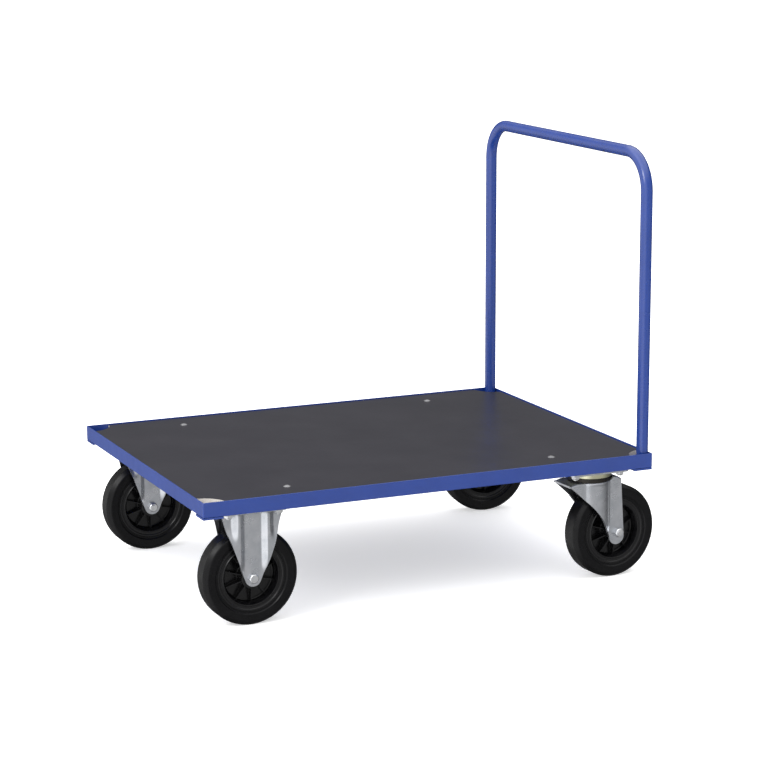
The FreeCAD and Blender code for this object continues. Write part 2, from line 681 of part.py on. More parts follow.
def build_casters():
    wheel = {"tyre": tyre(), "wheel_rim": wheel_rim(), "roller_bearing": roller_bearing()}
    fixed = fixed_fork()
    fork = swivel_fork()
    head = swivel_head()
    upper = ball_row(upper_ball_count, upper_race_radius, upper_ball_z)
    lower = ball_row(lower_ball_count, lower_race_radius, lower_ball_z)
    loose = {"caster_bolts": [], "caster_nuts": [], "axle_bolts_front": [], "axle_nuts_front": [],
             "kingpins": [], "kingpin_nuts": []}

    for side, sign, rest in (("left", -1, swivel_rest_left), ("right", 1, swivel_rest_right)):
        y = sign * caster_y
        parts["fixed_fork_" + side] = placed(fixed, -caster_x, y)
        axle = axle_set(0, sign)
        loose["axle_bolts_front"].append(placed(axle["axle_bolt"], -caster_x, y))
        loose["axle_nuts_front"].append(placed(axle["axle_nut"], -caster_x, y))
        parts["axle_sleeve_front_" + side] = placed(axle["axle_sleeve"], -caster_x, y)
        for name, shape in wheel.items():
            parts["%s_front_%s" % (name, side)] = placed(lifted(shape, 0), -caster_x, y)
            parts["%s_rear_%s" % (name, side)] = placed(lifted(shape, swivel_trail), caster_x, y, rest)
        parts["swivel_fork_" + side] = placed(fork, caster_x, y, rest)
        parts["upper_balls_" + side] = placed(upper, caster_x, y, rest)
        parts["lower_balls_" + side] = placed(lower, caster_x, y, rest)
        for name in ("swivel_plate", "race_cup", "race_washer"):
            parts["%s_%s" % (name, side)] = placed(head[name], caster_x, y)
        loose["kingpins"].append(placed(head["pin"], caster_x, y))
        loose["kingpin_nuts"].append(placed(head["nut"], caster_x, y))
        axle = axle_set(swivel_trail, -sign)
        for name, shape in axle.items():
            parts["%s_rear_%s" % (name, side)] = placed(shape, caster_x, y, rest)
        for x, thickness in ((-caster_x, fork_sheet), (caster_x, swivel_plate_thickness)):
            bolts, nuts = plate_bolts(thickness, sign)
            loose["caster_bolts"] += [placed(b, x, y) for b in bolts]
            loose["caster_nuts"] += [placed(n, x, y) for n in nuts]
    for name, solids in loose.items():
        parts[name] = group(solids)


build_frame()
build_deck()
build_push_bar()
build_casters()

os.makedirs("parts", exist_ok=True)
for node, shape in sorted(parts.items()):
    shape.translate(Vec(frame_x, 0, 0))
    if not shape.isValid():
        raise ValueError(node + " is not a valid shape")
    shape.exportStep("parts/%s.step" % node)
print("%d nodes, frame centre at x = %.3f" % (len(parts), frame_x))
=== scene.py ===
import json
import math

import bpy
from mathutils import Matrix, Vector


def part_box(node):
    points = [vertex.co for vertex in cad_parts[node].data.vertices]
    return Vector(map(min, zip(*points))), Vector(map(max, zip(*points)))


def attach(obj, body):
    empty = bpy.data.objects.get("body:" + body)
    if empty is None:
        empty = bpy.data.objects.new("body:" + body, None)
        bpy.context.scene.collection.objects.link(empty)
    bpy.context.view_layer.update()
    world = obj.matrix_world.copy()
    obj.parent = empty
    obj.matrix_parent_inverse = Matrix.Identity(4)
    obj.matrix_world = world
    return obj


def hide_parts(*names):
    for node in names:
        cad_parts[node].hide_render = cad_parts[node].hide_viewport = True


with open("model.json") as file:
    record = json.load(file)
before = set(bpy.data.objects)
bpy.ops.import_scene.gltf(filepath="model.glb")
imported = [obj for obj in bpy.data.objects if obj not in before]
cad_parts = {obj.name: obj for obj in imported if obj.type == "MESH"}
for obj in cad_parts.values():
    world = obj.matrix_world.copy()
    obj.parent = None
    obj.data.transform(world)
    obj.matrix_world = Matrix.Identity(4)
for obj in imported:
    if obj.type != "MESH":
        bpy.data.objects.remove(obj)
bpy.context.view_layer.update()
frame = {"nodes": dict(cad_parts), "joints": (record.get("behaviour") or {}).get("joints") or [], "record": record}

MM = 0.001
SIDES = (("left", -1), ("right", 1))
ENDS = (("front", -1), ("rear", 1))

# ---- sizes read from the frame ----
rail_low, rail_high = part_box("side_rail_left")
FRAME_X = (rail_low.x + rail_high.x) / 2
HALF_LENGTH = (rail_high.x - rail_low.x) / 2
HALF_WIDTH = -rail_low.y
RAIL_BOTTOM = rail_low.z
RAIL_TOP = rail_high.z
RAIL_FLANGE = rail_high.y - rail_low.y
deck_low, deck_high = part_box("deck_panel")
bar_low, bar_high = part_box("push_bar")
BAR_RADIUS = (bar_high.x - bar_low.x) / 2
BAR_X = (bar_high.x + bar_low.x) / 2
BAR_Y = bar_high.y - BAR_RADIUS
BAR_TOP = bar_high.z - BAR_RADIUS
tyre_low, tyre_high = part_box("tyre_front_left")
WHEEL_RADIUS = (tyre_high.z - tyre_low.z) / 2
TYRE_HALF = (tyre_high.y - tyre_low.y) / 2
fork_low, fork_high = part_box("fixed_fork_left")
PLATE_HALF_X = (fork_high.x - fork_low.x) / 2
PLATE_HALF_Y = (fork_high.y - fork_low.y) / 2
PLATE_TOP = fork_high.z
LEG_FOOT = fork_low.z
joints = {joint["name"]: joint for joint in frame["joints"]}

# ---- sizes of the sheet, castings and mouldings ----
RAIL_SHEET = 2.5 * MM
FORK_SHEET = 4 * MM
BAR_WALL = 2.5 * MM
BAR_BEND = 78 * MM
LEG_OUTER = 34 * MM
AXLE_HOLE = 6.3 * MM
CORNER_RADIUS = 2.2 * MM
DECK_CUTOUT = 50 * MM
DECK_BOLT_X = 297 * MM
DECK_BOLT_Y = 306 * MM
DECK_BOLT_HOLE = 4.5 * MM
BAR_BOLT_HOLE = 6.5 * MM
PLATE_CORNER = 1.2 * MM
WELD_RADIUS = 1.7 * MM
CHANNEL_SPANS = ((-313, -272), (-28, 28), (272, 313))
BEAD_INNER = 62 * MM
BEAD_OUTER = 71 * MM
BEAD_HALF = 20 * MM
RIB_COUNT = 10
PLY_COUNT = 9
RIB_PHASE = math.radians(21)


# ---------------------------------------------------------------- modelling helpers

def deselect():
    if bpy.context.mode != "OBJECT":
        bpy.ops.object.mode_set(mode="OBJECT")
    bpy.ops.object.select_all(action="DESELECT")


def edit(obj):
    """Opens one object in edit mode with all of it selected."""
    deselect()
    obj.select_set(True)
    bpy.context.view_layer.objects.active = obj
    bpy.ops.object.mode_set(mode="EDIT")
    bpy.ops.mesh.select_all(action="SELECT")


def modify(obj, kind, **values):
    """Adds a modifier and applies it."""
    deselect()
    obj.select_set(True)
    bpy.context.view_layer.objects.active = obj
    modifier = obj.modifiers.new(kind.lower(), kind)
    for key, value in values.items():
        setattr(modifier, key, value)
    bpy.ops.object.modifier_apply(modifier=modifier.name)
    return obj


def soften(obj, width, segments=2, angle=30):
    return modify(obj, "BEVEL", width=width, segments=segments, limit_method="ANGLE",
                  angle_limit=math.radians(angle), harden_normals=False)


def bore(obj, radius, centre, depth, facets, turn=(0, 0, 0)):
    """Cuts a round hole that has its middle at a point."""
    deselect()
    bpy.ops.mesh.primitive_cylinder_add(vertices=facets, radius=radius, depth=depth, location=centre,
                                        rotation=turn)
    cutter = bpy.context.object
    modify(obj, "BOOLEAN", operation="DIFFERENCE", solver="EXACT", object=cutter)
    bpy.data.objects.remove(cutter)


def drill(obj, radius, start, depth):
    """Cuts a round hole downwards from a point."""
    bore(obj, radius, (start[0], start[1], start[2] - depth / 2), depth, 48)


def outline(points, filled=True):
    """A closed outline: a circle whose corners are moved to their places."""
    deselect()
    bpy.ops.mesh.primitive_circle_add(vertices=len(points), fill_type="NGON" if filled else "NOTHING")
    obj = bpy.context.object
    for vertex, point in zip(obj.data.vertices, points):
        vertex.co = point
    return obj


def rounded(corners, steps=4):
    """2D outline from (a, b, radius) corners, with each corner rounded by an arc."""
    result = []
    count = len(corners)
    for k, (a, b, radius) in enumerate(corners):
        here = Vector((a, b))
        if radius == 0:
            result.append(here)
            continue
        to_last = (Vector(corners[k - 1][:2]) - here).normalized()
        to_next = (Vector(corners[(k + 1) % count][:2]) - here).normalized()
        half = to_last.angle(to_next) / 2
        reach = radius / math.tan(half)
        centre = here + (to_last + to_next).normalized() * (radius / math.sin(half))
        first = here + to_last * reach - centre
        sweep = first.angle_signed(here + to_next * reach - centre)
        for step in range(steps + 1):
            turn = -sweep * step / steps
            result.append(centre + Vector((first.x * math.cos(turn) - first.y * math.sin(turn),
                                           first.x * math.sin(turn) + first.y * math.cos(turn))))
    return result


def extruded(obj, offset):
    edit(obj)
    bpy.ops.mesh.extrude_region_move(TRANSFORM_OT_translate={"value": offset})
    recalculate()
    return obj


def recalculate():
    """In edit mode, merges doubles and points the faces outwards."""
    bpy.ops.mesh.select_all(action="SELECT")
    bpy.ops.mesh.remove_doubles(threshold=0.01 * MM)
    bpy.ops.mesh.normals_make_consistent(inside=False)
    bpy.ops.object.mode_set(mode="OBJECT")


def turned(profile, steps=96):
    """A ring about the Y axis from a closed outline in radius and Y."""
    obj = outline([Vector((radius, y, 0)) for radius, y in profile], filled=False)
    edit(obj)
    bpy.ops.mesh.spin(steps=steps, angle=2 * math.pi, center=(0, 0, 0), axis=(0, 1, 0))
    recalculate()
    return obj


def join(objects):
    deselect()
    for obj in objects:
        obj.select_set(True)
    bpy.context.view_layer.objects.active = objects[0]
    bpy.ops.object.join()
    return bpy.context.object


def twin(obj, matrix):
    """A copy with its own mesh, carried by a matrix."""
    copy = bpy.data.objects.new(obj.name, obj.data.copy())
    bpy.context.scene.collection.objects.link(copy)
    copy.data.transform(matrix)
    if matrix.determinant() < 0:
        copy.data.flip_normals()
    return copy


def settle(obj, name, finish, body, nodes=(), angle=32):
    """Applies the piece's place, smooths it, gives it its material and puts it on its body."""
    deselect()
    obj.select_set(True)
    bpy.context.view_layer.objects.active = obj
    bpy.ops.object.transform_apply(location=True, rotation=True, scale=True)
    bpy.ops.object.shade_smooth_by_angle(angle=math.radians(angle))
    modify(obj, "WEIGHTED_NORMAL", keep_sharp=True)
    obj.name = name
    obj.data.name = name
    if not obj.data.materials:
        obj.data.materials.append(finish)
    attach(obj, body)
    if nodes:
        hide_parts(*nodes)
    return obj


def blend(a, b, share):
    return a + (b - a) * min(1.0, max(0.0, share))


def ease(low, high, value):
    """Rises smoothly from 0 at low to 1 at high."""
    share = min(1.0, max(0.0, (value - low) / (high - low)))
    return share * share * (3 - 2 * share)


# ---------------------------------------------------------------- shader groups

def new_group(name, inputs, outputs):
    """An empty shader group with float or vector inputs and outputs."""
    tree = bpy.data.node_groups.new(name, "ShaderNodeTree")
    for label, kind, value in inputs:
        socket = tree.interface.new_socket(label, in_out="INPUT", socket_type=kind)
        socket.default_value = value
    for label, kind in outputs:
        tree.interface.new_socket(label, in_out="OUTPUT", socket_type=kind)
    return tree, tree.nodes.new("NodeGroupInput"), tree.nodes.new("NodeGroupOutput")


def node(tree, kind, links=None, values=None, **settings):
    """A node with its settings, its plain input values and its incoming links."""
    made = tree.nodes.new(kind)
    for key, value in settings.items():
        setattr(made, key, value)
    for key, value in (values or {}).items():
        made.inputs[key].default_value = value
    for key, source in (links or {}).items():
        tree.links.new(source, made.inputs[key])
    return made


def remap(tree, value, start, end, low=0.0, high=1.0, **settings):
    """Carries a socket's span from start to end onto low to high."""
    made = node(tree, "ShaderNodeMapRange", {"Value": value},
                {"From Min": start, "From Max": end, "To Min": low, "To Max": high}, **settings)
    return made.outputs["Result"]


def maths(tree, operation, first, second):
    """One operation on a socket and a socket or number."""
    made = node(tree, "ShaderNodeMath", {0: first}, operation=operation)
    if isinstance(second, float):
        made.inputs[1].default_value = second
    else:
        tree.links.new(second, made.inputs[1])
    return made.outputs["Value"]


FLOAT, VECTOR = "NodeSocketFloat", "NodeSocketVector"


def mottle_group():
    """Cloudy variation between two values."""
    tree, given, out = new_group("mottle", [("Vector", VECTOR, (0, 0, 0)), ("Scale", FLOAT, 20.0),
                                            ("Low", FLOAT, 0.0), ("High", FLOAT, 1.0)],
                                 [("Value", FLOAT)])
    noise = node(tree, "ShaderNodeTexNoise", {"Vector": given.outputs["Vector"],
                                              "Scale": given.outputs["Scale"]},
                 {"Detail": 5.0, "Roughness": 0.55})
    span = node(tree, "ShaderNodeMapRange",
                {"Value": noise.outputs["Fac"], "To Min": given.outputs["Low"],
                 "To Max": given.outputs["High"]}, {"From Min": 0.3, "From Max": 0.7})
    tree.links.new(span.outputs["Result"], out.inputs["Value"])
    return tree


def grain_group():
    """Fine stretched grain for bump: brushed, drawn or moulded surfaces."""
    tree, given, out = new_group("grain", [("Vector", VECTOR, (0, 0, 0)), ("Stretch", VECTOR, (1, 1, 1)),
                                           ("Scale", FLOAT, 400.0)], [("Height", FLOAT)])
    stretched = node(tree, "ShaderNodeVectorMath",
                     {0: given.outputs["Vector"], 1: given.outputs["Stretch"]}, operation="MULTIPLY")
    noise = node(tree, "ShaderNodeTexNoise", {"Vector": stretched.outputs["Vector"],
                                              "Scale": given.outputs["Scale"]},
                 {"Detail": 3.0, "Roughness": 0.6})
    tree.links.new(noise.outputs["Fac"], out.inputs["Height"])
    return tree


def edge_group():
    """Mask of edges, for wear and for the painted highlight on paint edges, and the normal that rounds them."""
    tree, given, out = new_group("edge_wear_and_highlight", [("Vector", VECTOR, (0, 0, 0)), ("Radius", FLOAT, 0.0006),
                                               ("Breakup", FLOAT, 120.0)],
                                 [("Mask", FLOAT), ("Normal", VECTOR)])
    bevel = node(tree, "ShaderNodeBevel", {"Radius": given.outputs["Radius"]}, samples=6)
    geometry = node(tree, "ShaderNodeNewGeometry")
    alike = node(tree, "ShaderNodeVectorMath",
                 {0: bevel.outputs["Normal"], 1: geometry.outputs["Normal"]}, operation="DOT_PRODUCT")
    turn = remap(tree, alike.outputs["Value"], 0.995, 0.8)
    noise = node(tree, "ShaderNodeTexNoise", {"Vector": given.outputs["Vector"],
                                              "Scale": given.outputs["Breakup"]}, {"Detail": 4.0})
    patches = remap(tree, noise.outputs["Fac"], 0.42, 0.62)
    tree.links.new(maths(tree, "MULTIPLY", turn, patches), out.inputs["Mask"])
    tree.links.new(bevel.outputs["Normal"], out.inputs["Normal"])
    return tree


def dust_group():
    """Mask of dust that settles on faces that look up, in soft patches."""
    tree, given, out = new_group("dust", [("Vector", VECTOR, (0, 0, 0)), ("Scale", FLOAT, 9.0),
                                          ("Amount", FLOAT, 0.3)], [("Mask", FLOAT)])
    geometry = node(tree, "ShaderNodeNewGeometry")
    facing = node(tree, "ShaderNodeSeparateXYZ", {"Vector": geometry.outputs["Normal"]})
    upward = remap(tree, facing.outputs["Z"], 0.2, 0.9)
    noise = node(tree, "ShaderNodeTexNoise", {"Vector": given.outputs["Vector"],
                                              "Scale": given.outputs["Scale"]},
                 {"Detail": 7.0, "Roughness": 0.65})
    patches = remap(tree, noise.outputs["Fac"], 0.4, 0.75)
    settled = maths(tree, "MULTIPLY", upward, patches)
    tree.links.new(maths(tree, "MULTIPLY", settled, given.outputs["Amount"]), out.inputs["Mask"])
    return tree


MOTTLE, GRAIN, EDGE, DUST = mottle_group(), grain_group(), edge_group(), dust_group()


def use(tree, group, place, **values):
    """Places a shader group on a material's own coordinates, with its own values."""
    made = node(tree, "ShaderNodeGroup", {"Vector": place}, node_tree=group)
    for key, value in values.items():
        made.inputs[key].default_value = value
    return made


# ---------------------------------------------------------------- materials

def new_material(name, **sockets):
    """A Principled material; numbers that are the same all over sit on the shader's own sockets."""
    made = bpy.data.materials.new(name)
    made.use_nodes = True
    tree = made.node_tree
    shader = tree.nodes["Principled BSDF"]
    for key, value in sockets.items():
        shader.inputs[key.replace("_", " ")].default_value = value
    place = node(tree, "ShaderNodeTexCoord").outputs["Object"]
    return made, tree, shader, place


def mix_colour(tree, share, first, second):
    """A colour between two, each an RGBA value or a socket."""
    made = node(tree, "ShaderNodeMix", data_type="RGBA")
    tree.links.new(share, made.inputs["Factor"])
    for key, value in ((6, first), (7, second)):
        if isinstance(value, tuple):
            made.inputs[key].default_value = value
        else:
            tree.links.new(value, made.inputs[key])
    return made.outputs[2]


def feed(tree, shader, colour, gloss, bump):
    """Joins a material's colour, roughness and bump to its shader."""
    tree.links.new(colour, shader.inputs["Base Color"])
    tree.links.new(gloss.outputs["Value"], shader.inputs["Roughness"])
    tree.links.new(bump.outputs["Normal"], shader.inputs["Normal"])


def rgba(red, green, blue):
    return (red, green, blue, 1.0)


# ---- colours: the dark and the light end of each, and what shows where it is worn; the rubbed paint colour is also a painted highlight ----
PAINT_BLUES = (rgba(0.006, 0.029, 0.178), rgba(0.007, 0.033, 0.198))
# rubbed paint colour, made bright to paint in the highlight along the frame's rail rims as well as wear
PAINT_RUBBED_AND_HIGHLIGHT = rgba(0.16, 0.20, 0.42)
PAINT_DUST = rgba(0.42, 0.41, 0.40)
STEEL_BRIGHT = rgba(0.82, 0.82, 0.82)
FILM_DARKS = (rgba(0.015, 0.0145, 0.020), rgba(0.018, 0.017, 0.023))
FILM_SCUFFED = rgba(0.060, 0.060, 0.068)
FILM_DUST = rgba(0.30, 0.30, 0.32)
PLY_GLUE_AND_WOOD = (rgba(0.70, 0.64, 0.54), rgba(0.84, 0.81, 0.74))
PLY_FLECK = rgba(0.40, 0.30, 0.20)
RUBBER_BLACKS = (rgba(0.0015, 0.0015, 0.002), rgba(0.003, 0.003, 0.0035))
RUBBER_WORN = rgba(0.010, 0.010, 0.010)
FLOOR_GREYS = (rgba(0.86, 0.86, 0.86), rgba(0.88, 0.88, 0.88))


def paint(name, roughness, peel, coat, edge_radius):
    """Blue powder coat with orange peel, faint cloudiness and rubbed edges that also carry a painted highlight."""
    made, tree, shader, place = new_material(name, Coat_Weight=coat, Coat_Roughness=0.12)
    cloud = use(tree, MOTTLE, place, Scale=14.0)
    base = mix_colour(tree, cloud.outputs["Value"], *PAINT_BLUES)
    edges = use(tree, EDGE, place, Radius=edge_radius)
    # edges lightened both for rubbed wear and as a painted highlight
    lightened = mix_colour(tree, edges.outputs["Mask"], base, PAINT_RUBBED_AND_HIGHLIGHT)
    dust = use(tree, DUST, place, Scale=12.0, Amount=0.06)
    dusty = mix_colour(tree, dust.outputs["Mask"], lightened, PAINT_DUST)
    gloss = use(tree, MOTTLE, place, Scale=35.0, Low=roughness - 0.05, High=roughness + 0.06)
    skin = use(tree, GRAIN, place, Scale=700.0)
    bump = node(tree, "ShaderNodeBump", {"Height": skin.outputs["Height"],
                                         "Normal": edges.outputs["Normal"]},
                {"Strength": peel, "Distance": 0.15 * MM})
    feed(tree, shader, dusty, gloss, bump)
    return made


def metal(name, dark, light, roughness, stretch, spangle, tint=None, metallic=1.0, edge_radius=0.4 * MM):
    """Plated or turned steel: drawn grain, cloudy plating and soft bright edges."""
    made, tree, shader, place = new_material(name, Metallic=metallic)
    cloud = use(tree, MOTTLE, place, Scale=spangle)
    base = mix_colour(tree, cloud.outputs["Value"], dark, light)
    if tint:
        blush = use(tree, MOTTLE, place, Scale=30.0, Low=0.0, High=0.5)
        base = mix_colour(tree, blush.outputs["Value"], base, tint)
    edges = use(tree, EDGE, place, Radius=edge_radius, Breakup=200.0)
    bright = mix_colour(tree, edges.outputs["Mask"], base, STEEL_BRIGHT)
    gloss = use(tree, MOTTLE, place, Scale=60.0, Low=roughness - 0.06, High=roughness + 0.08)
    lines = use(tree, GRAIN, place, Stretch=stretch, Scale=500.0)
    bump = node(tree, "ShaderNodeBump", {"Height": lines.outputs["Height"],
                                         "Normal": edges.outputs["Normal"]},
                {"Strength": 0.15, "Distance": 0.05 * MM})
    feed(tree, shader, bright, gloss, bump)
    return made


def deck_film():
    """Dark resin film on the plywood: faint mesh print, scuffs and patches of gloss."""
    made, tree, shader, place = new_material("deck_film", Specular_IOR_Level=0.32)
    cloud = use(tree, MOTTLE, place, Scale=6.0)
    base = mix_colour(tree, cloud.outputs["Value"], *FILM_DARKS)
    mesh = node(tree, "ShaderNodeTexVoronoi", {"Vector": place}, {"Scale": 420.0}, feature="F1")
    scuffs = use(tree, GRAIN, place, Stretch=(1.0, 9.0, 1.0), Scale=18.0)
    scuff_mask = remap(tree, scuffs.outputs["Height"], 0.66, 0.85, high=0.08)
    scuffed = mix_colour(tree, scuff_mask, base, FILM_SCUFFED)
    dust = use(tree, DUST, place, Scale=7.0, Amount=0.015)
    dusty = mix_colour(tree, dust.outputs["Mask"], scuffed, FILM_DUST)
    gloss = use(tree, MOTTLE, place, Scale=9.0, Low=0.30, High=0.34)
    edges = use(tree, EDGE, place, Radius=0.5 * MM)
    bump = node(tree, "ShaderNodeBump", {"Height": mesh.outputs["Distance"],
                                         "Normal": edges.outputs["Normal"]},
                {"Strength": 0.12, "Distance": 0.2 * MM})
    feed(tree, shader, dusty, gloss, bump)
    return made


def ply_edge():
    """Cut edge of the plywood: pale plies with darker glue lines and end grain."""
    made, tree, shader, place = new_material("ply_edge", Specular_IOR_Level=0.3)
    height = node(tree, "ShaderNodeSeparateXYZ", {"Vector": place})
    ply = (deck_high.z - deck_low.z) / PLY_COUNT
    layer = maths(tree, "MULTIPLY", height.outputs["Z"], math.pi / ply)
    wave = node(tree, "ShaderNodeMath", {0: layer}, operation="SINE")
    glue = maths(tree, "GREATER_THAN", wave.outputs["Value"], 0.0)
    fibres = use(tree, GRAIN, place, Stretch=(1.0, 1.0, 0.25), Scale=900.0)
    plies = mix_colour(tree, glue, *PLY_GLUE_AND_WOOD)
    fleck = remap(tree, fibres.outputs["Height"], 0.5, 0.8, high=0.5)
    grained = mix_colour(tree, fleck, plies, PLY_FLECK)
    bump = node(tree, "ShaderNodeBump", {"Height": fibres.outputs["Height"]},
                {"Strength": 0.3, "Distance": 0.2 * MM})
    rough = use(tree, MOTTLE, place, Scale=80.0, Low=0.6, High=0.8)
    feed(tree, shader, grained, rough, bump)
    return made


def rubber():
    """Black tyre rubber, greyer where the tread is rubbed by the floor."""
    made, tree, shader, place = new_material("tyre_rubber", Specular_IOR_Level=0.16)
    reach = node(tree, "ShaderNodeAttribute", attribute_name="from_axle")
    tread = remap(tree, reach.outputs["Fac"], WHEEL_RADIUS - 4 * MM, WHEEL_RADIUS, high=0.5)
    cloud = use(tree, MOTTLE, place, Scale=55.0)
    lightened = maths(tree, "MULTIPLY", tread, cloud.outputs["Value"])
    base = mix_colour(tree, cloud.outputs["Value"], *RUBBER_BLACKS)
    worn = mix_colour(tree, lightened, base, RUBBER_WORN)
    gloss = use(tree, MOTTLE, place, Scale=45.0, Low=0.24, High=0.34)
    skin = use(tree, GRAIN, place, Scale=1100.0)
    bump = node(tree, "ShaderNodeBump", {"Height": skin.outputs["Height"]},
                {"Strength": 0.25, "Distance": 0.12 * MM})
    feed(tree, shader, worn, gloss, bump)
    return made


def plastic(name, dark, light, roughness, specular):
    """Moulded plastic with a faint spark texture and slightly polished edges."""
    made, tree, shader, place = new_material(name, Specular_IOR_Level=specular)
    cloud = use(tree, MOTTLE, place, Scale=40.0)
    base = mix_colour(tree, cloud.outputs["Value"], dark, light)
    edges = use(tree, EDGE, place, Radius=0.5 * MM, Breakup=260.0)
    polished = mix_colour(tree, edges.outputs["Mask"], base, tuple(min(1.0, 2.2 * c) for c in light))
    gloss = use(tree, MOTTLE, place, Scale=90.0, Low=roughness - 0.05, High=roughness + 0.07)
    skin = use(tree, GRAIN, place, Scale=1500.0)
    bump = node(tree, "ShaderNodeBump", {"Height": skin.outputs["Height"],
                                         "Normal": edges.outputs["Normal"]},
                {"Strength": 0.2, "Distance": 0.08 * MM})
    feed(tree, shader, polished, gloss, bump)
    return made


# the frame's wide bright edge band is partly a painted highlight on the rail rims
FRAME_PAINT = paint("frame_powder_coat", 0.36, 0.22, 0.15, 0.9 * MM)
BAR_PAINT = paint("bar_powder_coat", 0.26, 0.10, 0.35, 0.05 * MM)
ZINC_SHEET = metal("zinc_sheet", rgba(0.44, 0.46, 0.49), rgba(0.55, 0.56, 0.59), 0.30,
                   (1, 1, 0.12), 45.0, metallic=0.96, edge_radius=0.03 * MM)
YELLOW_ZINC = metal("passivated_steel", rgba(0.52, 0.50, 0.36), rgba(0.66, 0.63, 0.48), 0.30, (1, 1, 6),
                    50.0, tint=rgba(0.62, 0.66, 0.42))
BEARING_STEEL = metal("bearing_steel", rgba(0.60, 0.60, 0.62), rgba(0.74, 0.74, 0.75), 0.16,
                      (1, 1, 1), 90.0)
FASTENER = metal("zinc_fastener", rgba(0.58, 0.59, 0.61), rgba(0.74, 0.75, 0.76), 0.27, (1, 1, 3), 80.0)
# near-black steel for the ball seat: painted shade for the dark gap under the race cup's lip
SEAT_STEEL_PAINTED_SHADE = metal("seat_steel_painted_shade", rgba(0.03, 0.028, 0.025), rgba(0.06, 0.055, 0.05), 0.40,
                      (1, 1, 1), 60.0)
# a darker copy of the fastener zinc: painted shade on the deck bolt heads
DECK_BOLT_SHADED_ZINC = metal("deck_bolt_zinc_painted_shade", rgba(0.20, 0.20, 0.21), rgba(0.30, 0.30, 0.31), 0.30,
                       (1, 1, 1), 80.0)
TURNED_STEEL = metal("turned_steel", rgba(0.42, 0.42, 0.43), rgba(0.55, 0.55, 0.55), 0.30,
                     (1, 8, 1), 70.0)
DECK_FILM, PLY_EDGE, RUBBER = deck_film(), ply_edge(), rubber()
RIM_PLASTIC = plastic("rim_plastic", rgba(0.002, 0.002, 0.0025), rgba(0.004, 0.004, 0.0045), 0.20, 0.30)
CAGE_PLASTIC = plastic("bearing_plastic", rgba(0.46, 0.44, 0.38), rgba(0.58, 0.56, 0.50), 0.42, 0.45)
BY_SLOT = {"frame_paint": FRAME_PAINT, "bar_paint": BAR_PAINT, "deck_plywood": DECK_FILM,
           "zinc_sheet": ZINC_SHEET, "passivated_steel": YELLOW_ZINC, "bearing_steel": BEARING_STEEL,
           "zinc_fastener": FASTENER, "turned_steel": TURNED_STEEL, "tyre_rubber": RUBBER,
           "rim_plastic": RIM_PLASTIC, "bearing_plastic": CAGE_PLASTIC}


def finish_cad_nodes():
    """The CAD pieces that stay in view get their finish."""
    slots = {part["node"]: part["material_slot"] for part in frame["record"]["subparts"]}
    for name, obj in frame["nodes"].items():
        for place in obj.material_slots:
            # the deck bolts take the darker zinc copy, which is painted shade
            place.material = DECK_BOLT_SHADED_ZINC if name == "deck_bolts" else BY_SLOT[slots[name]]


# ---------------------------------------------------------------- frame, deck and push bar

def rail(name, half, distance, turn):
    """One angle section, drawn along X on the left side, mitred, then turned to its place."""
    y = -distance
    outer_bend, inner_bend, rim_edge, flange_edge = 2.8 * MM, 1.0 * MM, 0.7 * MM, 0.5 * MM
    profile = rounded([(y, RAIL_BOTTOM, outer_bend), (y, RAIL_TOP, rim_edge),
                       (y + RAIL_SHEET, RAIL_TOP, rim_edge),
                       (y + RAIL_SHEET, RAIL_BOTTOM + RAIL_SHEET, inner_bend),
                       (y + RAIL_FLANGE, RAIL_BOTTOM + RAIL_SHEET, flange_edge),
                       (y + RAIL_FLANGE, RAIL_BOTTOM, flange_edge)])
    obj = extruded(outline([Vector((-half, a, b)) for a, b in profile]), (2 * half, 0, 0))
    edit(obj)
    for sign in (-1, 1):
        corner = (sign * half, y, 0)
        for normal, place in (((sign, 1, 0), corner),
                              ((sign, -1, 0), (sign * (half - CORNER_RADIUS), y, 0))):
            bpy.ops.mesh.select_all(action="SELECT")
            bpy.ops.mesh.bisect(plane_co=place, plane_no=normal, use_fill=True, clear_outer=True)
    recalculate()
    obj.data.transform(Matrix.Translation((FRAME_X, 0, 0)) @ Matrix.Rotation(turn, 4, "Z"))
    return settle(obj, "formed_" + name, FRAME_PAINT, "chassis", [name])


def bead(start, end, radius, ripples=True):
    """A weld bead between two points: a rod of small overlapping ripples."""
    start, end = Vector(start), Vector(end)
    along = end - start
    pitch = 1.6 * radius
    end_size, valley = 0.55, 0.84
    count = max(3, round(along.length / pitch)) * 2
    deselect()
    bpy.ops.mesh.primitive_circle_add(vertices=10, radius=radius * end_size, fill_type="NGON")
    obj = bpy.context.object
    edit(obj)
    size = end_size
    for k in range(count):
        wanted = valley if ripples and k % 2 else 1.0
        bpy.ops.mesh.extrude_region_move(TRANSFORM_OT_translate={"value": (0, 0, along.length / count)})
        bpy.ops.transform.resize(value=(wanted / size, wanted / size, 1))
        size = wanted
    bpy.ops.transform.resize(value=(end_size, end_size, 1))
    recalculate()
    turn = along.to_track_quat("Z", "Y").to_matrix().to_4x4()
    obj.data.transform(Matrix.Translation(start) @ turn)
    return obj


